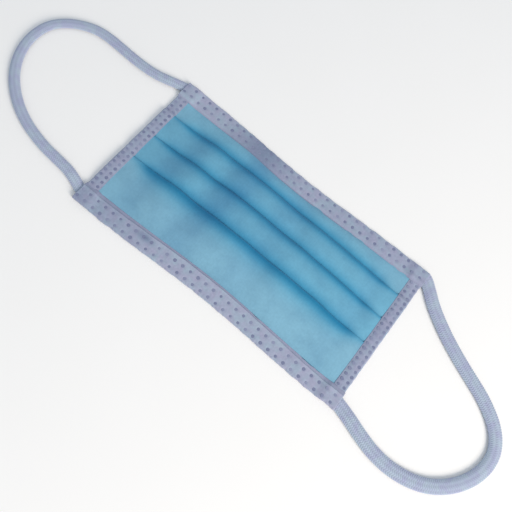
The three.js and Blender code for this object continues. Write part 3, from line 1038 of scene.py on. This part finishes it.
# %% A grid of points on the strip
def weld_grid(tree, given):
    spans = []
    for number, step in (("Columns", "Column Step"), ("Rows", "Row Step")):
        less = add(tree, "ShaderNodeMath", {0: given[number], 1: 1.0}, operation="SUBTRACT")
        span = add(tree, "ShaderNodeMath", {0: less.outputs[0], 1: given[step]}, operation="MULTIPLY")
        spans.append(span.outputs[0])
    sockets = {"Size X": spans[0], "Size Y": spans[1]}
    sockets.update({"Vertices X": given["Columns"], "Vertices Y": given["Rows"]})
    grid = add(tree, "GeometryNodeMeshGrid", sockets)
    sockets = {"Geometry": grid.outputs["Mesh"], "Translation": given["Centre"]}
    return add(tree, "GeometryNodeTransform", sockets)


def bowed(tree, given, grid, spot):
    """The same curve as the drawn-in edge: a cosine of the share of the length, to a power."""
    across = add(tree, "ShaderNodeSeparateXYZ", {0: spot})
    sockets = {0: across.outputs["X"], 1: given["Bow Length"]}
    share = add(tree, "ShaderNodeMath", sockets, operation="DIVIDE")
    share = add(tree, "ShaderNodeClamp", {"Value": share.outputs[0], "Min": -1.0, "Max": 1.0})
    angle = add(tree, "ShaderNodeMath", {0: share.outputs[0], 1: math.pi / 2}, operation="MULTIPLY")
    curve = add(tree, "ShaderNodeMath", {0: angle.outputs[0]}, operation="COSINE")
    curve = add(tree, "ShaderNodeMath", {0: curve.outputs[0], 1: 0.0}, operation="MAXIMUM")
    curve = add(tree, "ShaderNodeMath", {0: curve.outputs[0], 1: PINCH_POWER}, operation="POWER")
    bow = add(tree, "ShaderNodeMath", {0: curve.outputs[0], 1: given["Bow"]}, operation="MULTIPLY")
    offset = add(tree, "ShaderNodeCombineXYZ", {"Y": bow.outputs[0]})
    sockets = {"Geometry": grid.outputs[0], "Offset": offset.outputs[0]}
    return add(tree, "GeometryNodeSetPosition", sockets)


def dropped(tree, given, grid, spot):
    sockets = {"Target Geometry": given["Geometry"], "Source Position": spot}
    sockets["Ray Direction"] = (0.0, 0.0, -1.0)
    hit = add(tree, "GeometryNodeRaycast", sockets)
    sockets = {"Geometry": grid.outputs[0], "Selection": hit.outputs["Is Hit"]}
    sockets["Position"] = hit.outputs["Hit Position"]
    return add(tree, "GeometryNodeSetPosition", sockets)


print("the rows bow by", round(EDGE_PINCH / MM, 1), "mm at mid length")

# %% [markdown]
# ## Dimples and films
# Each weld is a dimple in the cloth with a low button of melted fibre in it. The cloth sinks round every
# point, and a small disc of 14 sides is set there as an instance. The sizes vary a little and so does
# the film, both from fixed seeds.

# %% A dimple and a disc at each point
DIMPLE_REACH = 2.0
BUTTON_SIDES = 14
BUTTON_RIM = 0.93
BUTTON_DEPTH = 0.12 * MM
BUTTON_SUNK = 0.15 * MM
SPOT_SIZES = {2: 0.75, 3: 1.15, 8: 11}
SPOT_MELTS = {2: 0.0, 3: 1.0, 8: 12}


def dimpled(tree, given, grid):
    away = add(tree, "GeometryNodeProximity", {0: grid.outputs[0]}, target_element="POINTS")
    reach = add(tree, "ShaderNodeMath", {0: given["Radius"], 1: DIMPLE_REACH}, operation="MULTIPLY")
    sockets = {"Value": away.outputs["Distance"], "From Min": 0.0, "From Max": reach.outputs[0]}
    sockets.update({"To Min": given["Depth"], "To Max": 0.0})
    sink = add(tree, "ShaderNodeMapRange", sockets, interpolation_type="SMOOTHSTEP")
    down = add(tree, "ShaderNodeMath", {0: sink.outputs["Result"], 1: -1.0}, operation="MULTIPLY")
    dent = add(tree, "ShaderNodeCombineXYZ", {"Z": down.outputs[0]})
    sockets = {"Geometry": given["Geometry"], "Offset": dent.outputs[0]}
    return add(tree, "GeometryNodeSetPosition", sockets)


def buttons(tree, given, grid):
    rim = add(tree, "ShaderNodeMath", {0: given["Radius"], 1: BUTTON_RIM}, operation="MULTIPLY")
    sockets = {"Vertices": BUTTON_SIDES, "Radius Top": rim.outputs[0], "Radius Bottom": given["Radius"]}
    button = add(tree, "GeometryNodeMeshCone", {**sockets, "Depth": BUTTON_DEPTH})
    sockets = {"Geometry": button.outputs["Mesh"], "Translation": (0, 0, -BUTTON_SUNK)}
    button = add(tree, "GeometryNodeTransform", sockets)
    size = add(tree, "FunctionNodeRandomValue", SPOT_SIZES, data_type="FLOAT")
    sockets = {"Points": grid.outputs[0], "Instance": button.outputs[0], "Scale": size.outputs[1]}
    spots = add(tree, "GeometryNodeInstanceOnPoints", sockets)
    melt = add(tree, "FunctionNodeRandomValue", SPOT_MELTS, data_type="FLOAT")
    sockets = {"Geometry": spots.outputs[0], "Name": "melt", "Value": melt.outputs[1]}
    return add(tree, "GeometryNodeStoreNamedAttribute", sockets, domain="INSTANCE")


print("one disc has", 4 * BUTTON_SIDES - 4, "triangles")

# %% [markdown]
# ## The welding tree
# The parts above are put together here. The instances are made real and get the film's material, and
# then join the dimpled cloth, which keeps its own.

# %% The whole welding tree
def weld_tree(film):
    sizes = ["Columns", "Rows", "Column Step", "Row Step", "Bow", "Bow Length", "Radius", "Depth"]
    tree, given, result = geometry_tree("welds_on_a_strip", sizes, ["Centre"])
    spot = add(tree, "GeometryNodeInputPosition").outputs[0]
    grid = bowed(tree, given, weld_grid(tree, given), spot)
    grid = dropped(tree, given, grid, spot)
    cloth = dimpled(tree, given, grid)
    spots = buttons(tree, given, grid)
    spots = add(tree, "GeometryNodeRealizeInstances", {"Geometry": spots.outputs[0]})
    spots = add(tree, "GeometryNodeSetMaterial", {"Geometry": spots.outputs[0], "Material": film})
    whole = add(tree, "GeometryNodeJoinGeometry", {0: cloth.outputs[0]})
    tree.links.new(spots.outputs[0], whole.inputs[0])
    tree.links.new(whole.outputs[0], result["Geometry"])
    return tree


welding = weld_tree(weld)

# %% [markdown]
# ## A strip folded round an edge
# Each strip is a long U. Its lower leg lies on the table, its upper leg follows whatever is inside, and
# the fold between them is the mask's outer edge. The ring below walks round that U once. The caller says
# how high the top is at each distance from the edge, so one function serves all four strips. Heat and
# pressure thin the upper leg over its last 2.4 mm: its top comes down to the panel and its underside
# sinks in a little, so no dark slit shows along the inner edge.

# %% One cut across a folded strip
TABLE_GAP = 0.04 * MM
TAPER = 2.4 * MM
EDGE_THINNED = 0.9 * (STRIP + GAP)
EDGE_SUNK = 2 * GAP
EDGE_TOP_AT = 0.7 * MM
STRIP_POINTS = {"leg": 9, "outer": 11, "inner": 7}


def strip_ring(width, top_at, floor, fine):
    """Ring of (distance in from the edge, height) round a folded strip, with fine points on its top."""
    radius = (top_at(EDGE_TOP_AT) - floor) / 2
    centre = (radius, floor + radius)
    leg = np.linspace(width, radius, STRIP_POINTS["leg"])
    ring = [(d, floor) for d in leg]
    ring += arc(centre, radius, -90, -270, STRIP_POINTS["outer"])[1:-1]
    for d in np.linspace(radius, width, fine):
        ring.append((d, top_at(d) - EDGE_THINNED * ease((d - width + TAPER) / TAPER)))
    for d in leg:
        ring.append((d, top_at(d) - STRIP - EDGE_SUNK * ease((d - width + TAPER) / TAPER)))
    ring += arc(centre, radius - STRIP, -270, -90, STRIP_POINTS["inner"])[1:-1]
    ring += [(d, floor + STRIP) for d in leg[::-1]]
    return ring


print("a strip's inner edge is", round((STRIP - EDGE_THINNED + EDGE_SUNK) / MM, 2), "mm thick")

# %% [markdown]
# ## Welding a strip on
# All four strips are finished in the same way: the tree above presses the welds in, and the piece then
# takes the place of the solid of its name. In the photograph the spots measure 1.9 mm across.

# %% Finish of a strip
SPOT_RADIUS = 0.95 * MM
SPOT_DEPTH = 0.2 * MM
GRID_HEIGHT = 50 * MM


def finish_strip(piece, name, welds):
    piece.data.materials.append(binding)
    run_tree(piece, welding, {"Radius": SPOT_RADIUS, "Depth": SPOT_DEPTH, "Bow Length": WINDOW_X, **welds})
    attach(piece, "root")
    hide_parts(name)


print("a weld is", round(2 * SPOT_RADIUS / MM, 1), "mm across")

# %% [markdown]
# ## The lie of the long strips
# The long strips run over the ends of the side strips, and their own ends stand a little higher, because
# an elastic is welded in there. They follow the drawn-in edges and the tilt of the body. The outer edge
# is never quite straight, so it wanders by two sizes of wave.

# %% Top, edge and place of a long strip
TUCK = 0.42 * MM
TUCK_FROM = (77 * MM, 39.5 * MM)
TUCK_OVER = (3 * MM, 2 * MM)
CRUMPLES = [
    {"size": 5 * MM, "seed": 21, "by": 0.09 * MM},
    {"size": 17 * MM, "seed": 22, "by": 0.16 * MM},
]
ROUGHNESS = [
    {"size": 4.5 * MM, "seed": 31, "by": 0.34 * MM},
    {"size": 1.5 * MM, "seed": 32, "by": 0.24 * MM},
]
ROUGH_ROW = 9 * MM
ROUGH_REACH = 3 * MM


def strip_top(x, y):
    """Top of a long strip's upper leg: over the sheet, and over the side strip's end near the corners."""
    over_side = ease((abs(x) - TUCK_FROM[0]) / TUCK_OVER[0])
    over_side *= 1 - ease((abs(y) - TUCK_FROM[1]) / TUCK_OVER[1])
    layers = SHEET / 2 + GAP + STRIP + TUCK * over_side
    return edge_level(x, y) - tilt(x, y) + layers + waves(x, y, CRUMPLES)


def long_place(x, side, ring):
    outer = outer_edge(x, side)
    rough = waves(x, side * ROUGH_ROW, ROUGHNESS)
    points = []
    for d, z in ring:
        loose = rough * (1 - ease(d / ROUGH_REACH))
        points.append((x, side * (outer - d - pinch(x) + loose), z + tilt(x, side * (outer - d))))
    return points


print("top of the nose strip at mid length, mm:", round(strip_top(0, HALF_WIDTH) / MM, 2))

# %% [markdown]
# ## Painted shade on the long strips
# The nose strip, at side 1, has a small dark oval, and the chin strip, at side -1, has a patch of painted
# shade across its whole width where it curls up. Each mark is an oval that fades softly. Both strips also
# darken a little towards one end, as painted shade. A tone of 1 is the full mark.

# %% The painted shade of a long strip
MARKS = {
    1: {"x": 44 * MM, "y": 40.6 * MM, "reach_x": 5.2 * MM, "reach_y": 2.2 * MM, "tone": 0.75},
    -1: {"x": 28 * MM, "y": 0, "reach_x": 17 * MM, "reach_y": math.inf, "tone": 0.7},
}
END_SHADES = {
    1: {"from": 30 * MM, "over": 45 * MM, "tone": 0.3},
    -1: {"from": 20 * MM, "over": -60 * MM, "tone": 0.15},
}


def pressed_tone(side, rings):
    x, y, _ = np.moveaxis(np.array(rings), 2, 0)
    mark = MARKS[side]
    shade = END_SHADES[side]
    away = np.hypot((x - mark["x"]) / mark["reach_x"], (y - mark["y"]) / mark["reach_y"])
    darker = shade["tone"] * ease((x - shade["from"]) / shade["over"])
    return darker + mark["tone"] * np.exp(-(away**2))


print("the nose strip's dent is", round(2 * MARKS[1]["reach_x"] / MM, 1), "mm long")

# %% [markdown]
# ## The long strips
# Each is a loft of 500 cuts, close enough for every weld to have about five across it. The lower layer's
# pinker tone shows in a narrow line along the inner edge, wider on the nose strip, where the top ply
# stops short.

# %% A long strip
LONG_STATIONS = np.linspace(-HALF_LENGTH, HALF_LENGTH, 500)
PINK_LINE = {1: 3.5 * MM, -1: 1.3 * MM}


def long_strip(name, side):
    rings = []
    for x in LONG_STATIONS:
        outer = outer_edge(x, side)
        ring = strip_ring(
            outer - WINDOW_Y, lambda d: strip_top(x, side * (outer - d)), floor=TABLE_GAP, fine=30
        )
        rings.append(long_place(x, side, ring))
    inner = np.array([[abs(point[1]) for point in ring] for ring in rings])
    edge = WINDOW_Y - pinch(LONG_STATIONS)[:, None]
    pink = 1 - ease((inner - edge) / PINK_LINE[side])
    return loft(name, rings, fold=pink, pressed=pressed_tone(side, rings))


print("cuts are", round((LONG_STATIONS[1] - LONG_STATIONS[0]) / MM, 2), "mm apart")

# %% [markdown]
# ## The nose strip's extra ply
# The nose strip has one more ply than the chin strip. It stops short of the inner edge, so a narrow lip
# of the layer below shows, and its own edge stands up a little and draws a thin dark line. It is a loft
# of its own, joined to the strip before the welds go through both.

# %% The extra ply
PLY = 0.3 * MM
PLY_GAP = 0.02 * MM
PLY_START = 0.5 * MM
PLY_POINTS = 26
PLY_EDGE = 0.35
LIP = 2.3 * MM
LIP_LESS_AT_MIDDLE = 0.45
LIP_WAVES = [{"size": 6 * MM, "seed": 41, "by": 0.15 * MM}]
CURL = 0.16 * MM
CURL_REACH = 1.2 * MM


def top_ply(name, side):
    rings = []
    for x in LONG_STATIONS:
        outer = outer_edge(x, side)
        lip = LIP * (1 - LIP_LESS_AT_MIDDLE * swell(x)) + waves(x, 0, LIP_WAVES)
        reach = outer - WINDOW_Y - lip
        under = []
        over = []
        for d in np.linspace(PLY_START, reach, PLY_POINTS):
            curl = CURL * ease((d - reach + CURL_REACH) / CURL_REACH)
            low = strip_top(x, side * (outer - d)) + PLY_GAP + curl
            under.append((d, low))
            over.append((d, low + PLY * min(1, PLY_EDGE + (d - PLY_START) / MM)))
        rings.append(long_place(x, side, under + over[::-1]))
    pink = np.zeros((len(rings), len(rings[0])))
    return loft(name, rings, fold=pink, pressed=pressed_tone(side, rings))


def join(piece, other):
    work = bmesh.new()
    work.from_mesh(piece.data)
    work.from_mesh(other.data)
    work.to_mesh(piece.data)
    work.free()
    bpy.data.objects.remove(other)


print("the ply stops", round(LIP / MM, 1), "mm short of the inner edge at the ends")

# %% [markdown]
# ## Both long strips with their welds
# Two rows of 34 spots run along each long strip, one spot to every 5.15 mm.

# %% The nose and chin strips
LONG_WELDS = {"Columns": 34.0, "Rows": 2.0, "Column Step": 5.15 * MM, "Row Step": 4.7 * MM}
LONG_WELDS_SHIFT = 1.2 * MM
NOSE_WELDS_Y = 43.8 * MM
CHIN_WELDS_Y = -43.3 * MM

for name, side, middle in (("nose_binding", 1, NOSE_WELDS_Y), ("chin_binding", -1, CHIN_WELDS_Y)):
    strip = long_strip(name, side)
    if side > 0:
        join(strip, top_ply("ply", side))
    centre = (LONG_WELDS_SHIFT, middle, GRID_HEIGHT)
    finish_strip(strip, name, {**LONG_WELDS, "Bow": -side * EDGE_PINCH, "Centre": centre})

# %% [markdown]
# ## The stack under the side strips
# The side strips press the ends of the three pleats together, so their top rises and falls with the
# stack. Cloth bridges a narrow notch, so the height is first widened to its neighbours' highest and then
# smoothed.

# %% Height of the stack under a side strip
SIDE_END = 40 * MM
SIDE_STATIONS = np.linspace(-SIDE_END, SIDE_END, 220)
BRIDGED = 2


def bridged_stack():
    stack = np.array([skin_height(WINDOW_X, y) if abs(y) < WINDOW_Y else 0 for y in SIDE_STATIONS])
    near = [slice(max(0, i - BRIDGED), i + BRIDGED + 1) for i in range(len(stack))]
    widest = np.array([stack[part].max() for part in near])
    return np.array([widest[part].mean() for part in near])


stack_heights = bridged_stack()
print("highest stack, mm:", round(stack_heights.max() / MM, 2))

# %% [markdown]
# ## The side strips
# Their ends go in under the long strips. There the lower leg is lifted over the long strip's own lower
# leg, so that the two don't cut into each other. Two rows of 22 spots run along each.

# %% The side strips
LIFT_FROM = 35.2 * MM
LIFT_OVER = 1.6 * MM
SIDE_CRUMPLES = [{"size": 4 * MM, "seed": 51, "by": 0.06 * MM}]
SIDE_ROUGHNESS = [{"size": 2.2 * MM, "seed": 52, "by": 0.24 * MM}]
SIDE_SET_IN = 0.15 * MM
SIDE_ROUGH_REACH = 2 * MM
SIDE_PINK = 0.3
SIDE_PINK_LINE = 0.8 * MM
SIDE_DARKER = 0.15


def side_top(d, y, side, stack):
    x = HALF_LENGTH - d
    layers = stack + SHEET / 2 + GAP + STRIP
    return edge_level(x, y) + layers + waves(side * x, y, SIDE_CRUMPLES)


def side_strip(name, side):
    rings = []
    for y, stack in zip(SIDE_STATIONS, stack_heights):
        lifted = (STRIP + GAP) * ease((abs(y) - LIFT_FROM) / LIFT_OVER)
        ring = strip_ring(
            SIDE_STRIP, lambda d: side_top(d, y, side, stack), floor=TABLE_GAP + lifted, fine=24
        )
        rough = waves(y, side * MM, SIDE_ROUGHNESS) - SIDE_SET_IN
        loose = [rough * (1 - ease(d / SIDE_ROUGH_REACH)) for d, _ in ring]
        rings.append([(side * (HALF_LENGTH - d + more), y, z) for (d, z), more in zip(ring, loose)])
    inner = np.array([[abs(point[0]) for point in ring] for ring in rings])
    pink = SIDE_PINK + (1 - SIDE_PINK) * (1 - ease((inner - WINDOW_X) / SIDE_PINK_LINE))
    # The side strips are a little darker and bluer all over.
    return loft(name, rings, fold=pink, pressed=np.full(inner.shape, SIDE_DARKER))


SIDE_WELDS = {"Columns": 2.0, "Rows": 22.0, "Column Step": 3.7 * MM, "Row Step": 3.42 * MM, "Bow": 0.0}
SIDE_WELDS_X = 83.7 * MM
SIDE_WELDS_Y = -0.4 * MM

for name, side in (("side_binding_left", -1), ("side_binding_right", 1)):
    centre = (side * SIDE_WELDS_X, SIDE_WELDS_Y, GRID_HEIGHT)
    finish_strip(side_strip(name, side), name, {**SIDE_WELDS, "Centre": centre})

# %% [markdown]
# ## Table
# The stage is a plain pale table of matt white laminate, large enough to fill the picture.

# %% The table
TABLE_HALF = 1500 * MM
TABLE_CLOUD = 60 * MM


def stage():
    mesh = bpy.data.meshes.new("table")
    corners = [(x * TABLE_HALF, y * TABLE_HALF, 0) for x, y in ((-1, -1), (1, -1), (1, 1), (-1, 1))]
    mesh.from_pydata(corners, [], [(0, 1, 2, 3)])
    table = bpy.data.objects.new("table", mesh)
    bpy.context.collection.objects.link(table)
    material, tree, shader = bare_material("matt_white_laminate", roughness=0.7, sheen=0)
    place = add(tree, "ShaderNodeTexCoord").outputs["Object"]
    cloud = add(tree, "ShaderNodeTexNoise", {"Vector": place, "Scale": 1 / TABLE_CLOUD, "Detail": 2})
    tint = add(tree, "ShaderNodeValToRGB", {"Fac": cloud.outputs["Fac"]})
    fill_ramp(tint, [(0.0, "#FBF9F5"), (1.0, "#FDFBF8")])
    tree.links.new(tint.outputs["Color"], shader.inputs["Base Color"])
    mesh.materials.append(material)


stage()

# %% [markdown]
# ## Light
# The table lies under a bright, even, faintly blue studio sky, which makes the folds dark: they see less
# of the sky, and the blue walls on each side send only blue back. One large, faintly warm softbox stands
# low at the -X end, about 30 degrees up, and draws the ridges out. The plain view transform keeps the
# hex colours as they are.

# %% Sky and lamp
SKY_COLOUR = "#EAF3FE"
SKY_STRENGTH = 0.66
LAMP_PLACE = (-0.97, 0.36, 0.60)
LAMP_SIZE = 0.66
LAMP_POWER = 11.9
LAMP_COLOUR = "#FFF6EC"

world = bpy.data.worlds.new("studio sky")
world.use_nodes = True
world.node_tree.nodes["Background"].inputs["Color"].default_value = linear(SKY_COLOUR)
world.node_tree.nodes["Background"].inputs["Strength"].default_value = SKY_STRENGTH
bpy.context.scene.world = world

light = bpy.data.lights.new("softbox", "AREA")
light.shape = "DISK"
light.size = LAMP_SIZE
light.energy = LAMP_POWER
light.color = linear(LAMP_COLOUR)[:3]
softbox = bpy.data.objects.new("softbox", light)
bpy.context.collection.objects.link(softbox)
softbox.location = LAMP_PLACE
softbox.rotation_euler = (-Vector(LAMP_PLACE)).to_track_quat("-Z", "Y").to_euler()
bpy.context.scene.view_settings.view_transform = "Standard"
bpy.context.scene.view_settings.look = "None"
lamp_rise = math.degrees(math.asin(Vector(LAMP_PLACE).normalized().z))
print("the softbox stands", round(lamp_rise, 1), "degrees up")
